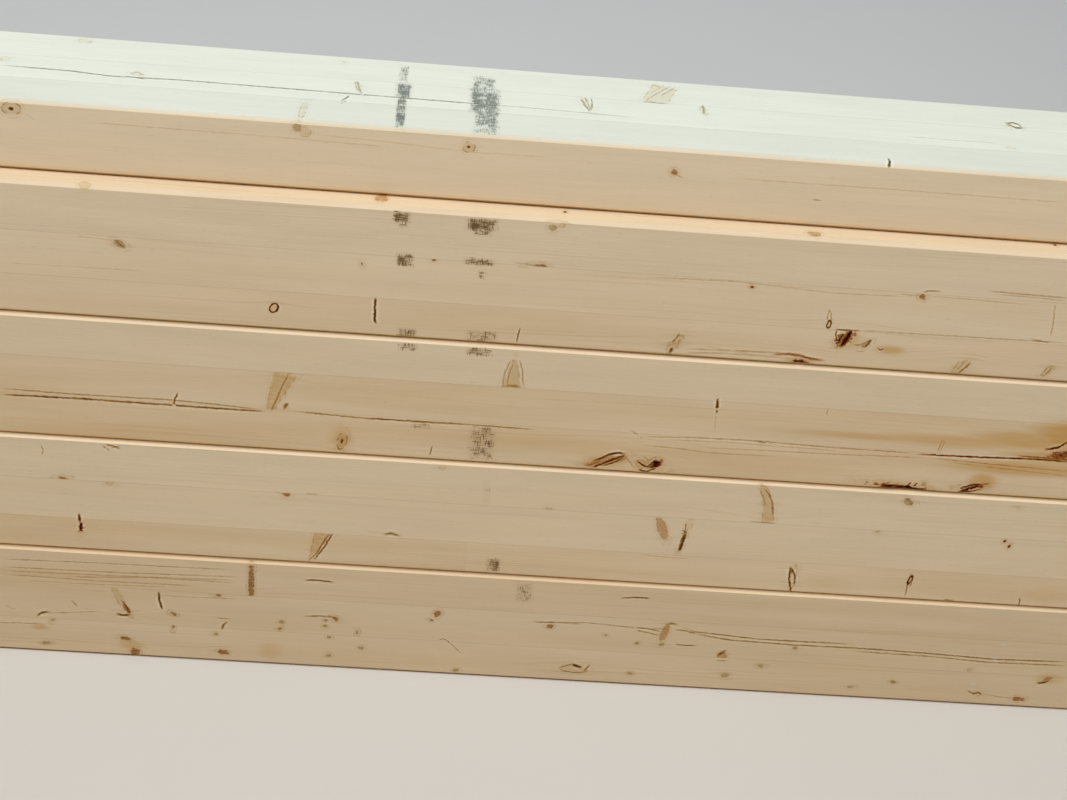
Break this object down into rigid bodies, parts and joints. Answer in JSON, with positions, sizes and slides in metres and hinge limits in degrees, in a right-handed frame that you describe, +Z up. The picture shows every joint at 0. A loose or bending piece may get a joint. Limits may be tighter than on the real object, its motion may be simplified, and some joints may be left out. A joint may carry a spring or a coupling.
{
  "type": "stack of lumber",
  "caption": "Stack of glued-laminated spruce beams standing on edge in rows, with a last beam lying flat on top; straight building timber with chamfered arrises and square-sawn ends.",
  "frame": {"origin": "on the ground, under the middle of the stack's footprint", "axes": "+X along the beams, +Y from the front of the stack to its back, +Z up"},
  "size_m": [3, 0.182, 0.542],
  "materials": {
    "spruce_glulam": "planed, unfinished softwood"
  },
  "bodies": {
    "root": {"row1_front_beam": "spruce_glulam", "row1_middle_beam": "spruce_glulam", "row1_back_beam": "spruce_glulam", "row2_front_beam": "spruce_glulam", "row2_middle_beam": "spruce_glulam", "row2_back_beam": "spruce_glulam", "row3_front_beam": "spruce_glulam", "row3_middle_beam": "spruce_glulam", "row3_back_beam": "spruce_glulam", "row4_front_beam": "spruce_glulam", "row4_middle_beam": "spruce_glulam", "row4_back_beam": "spruce_glulam", "top_flat_beam": "spruce_glulam"}
  },
  "joints": []
}
